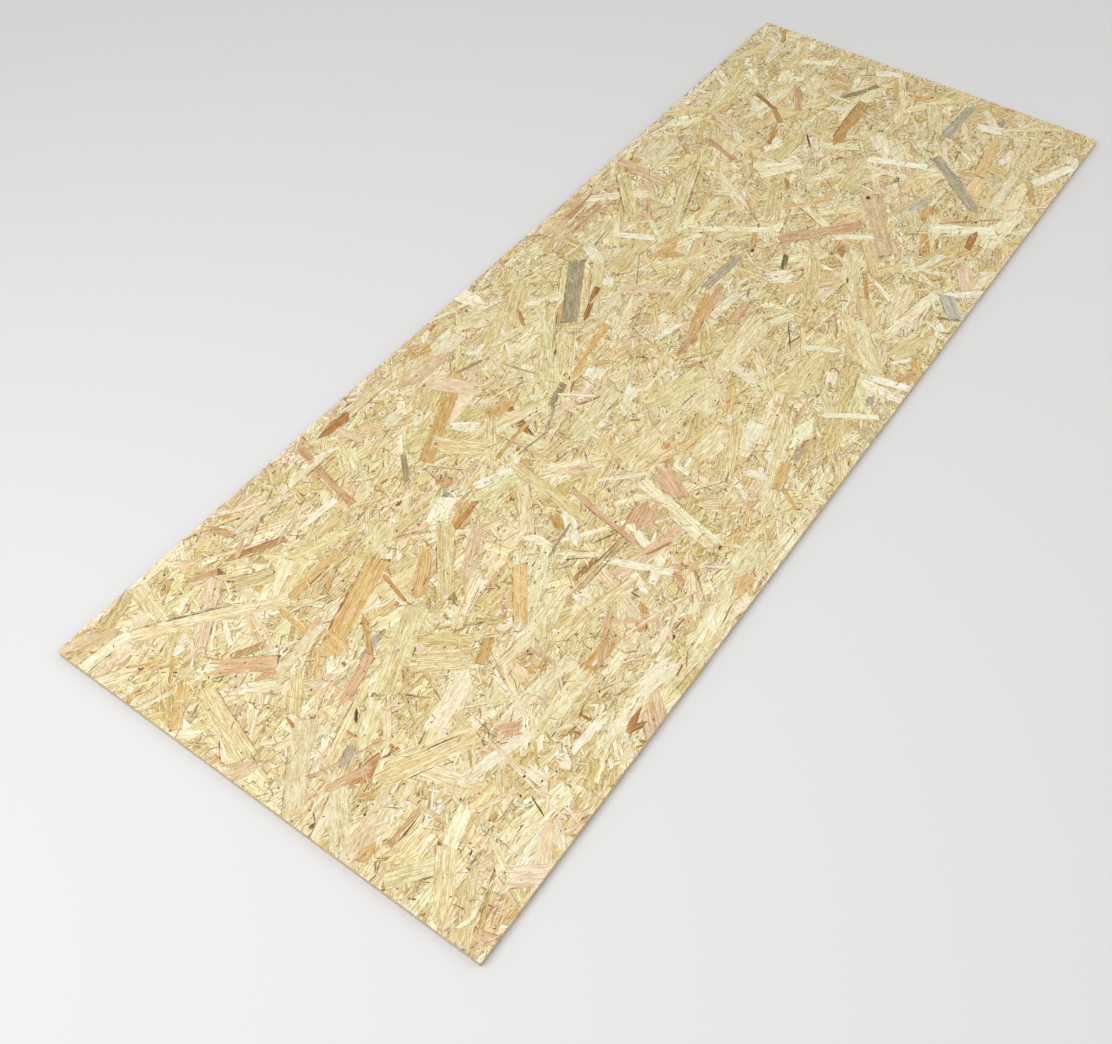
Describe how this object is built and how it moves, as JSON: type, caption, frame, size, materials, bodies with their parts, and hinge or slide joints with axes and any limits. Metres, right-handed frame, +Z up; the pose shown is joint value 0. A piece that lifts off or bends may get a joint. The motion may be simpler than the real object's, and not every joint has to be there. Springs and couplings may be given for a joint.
{
  "type": "osb board",
  "caption": "Flat rectangular sheet of oriented strand board with square sawn edges, for sheathing, decking, lining or shelving.",
  "frame": {"origin": "under the middle of the sheet's underside, on the floor it lies on", "axes": "+Z up out of the upper face, +Y along the sheet's length, +X across its width"},
  "size_m": [0.915, 2.44, 0.015],
  "materials": {
    "strand_board": "pressed pale softwood strands, bare, slightly waxy"
  },
  "bodies": {
    "root": {"osb_board": "strand_board"}
  },
  "joints": []
}
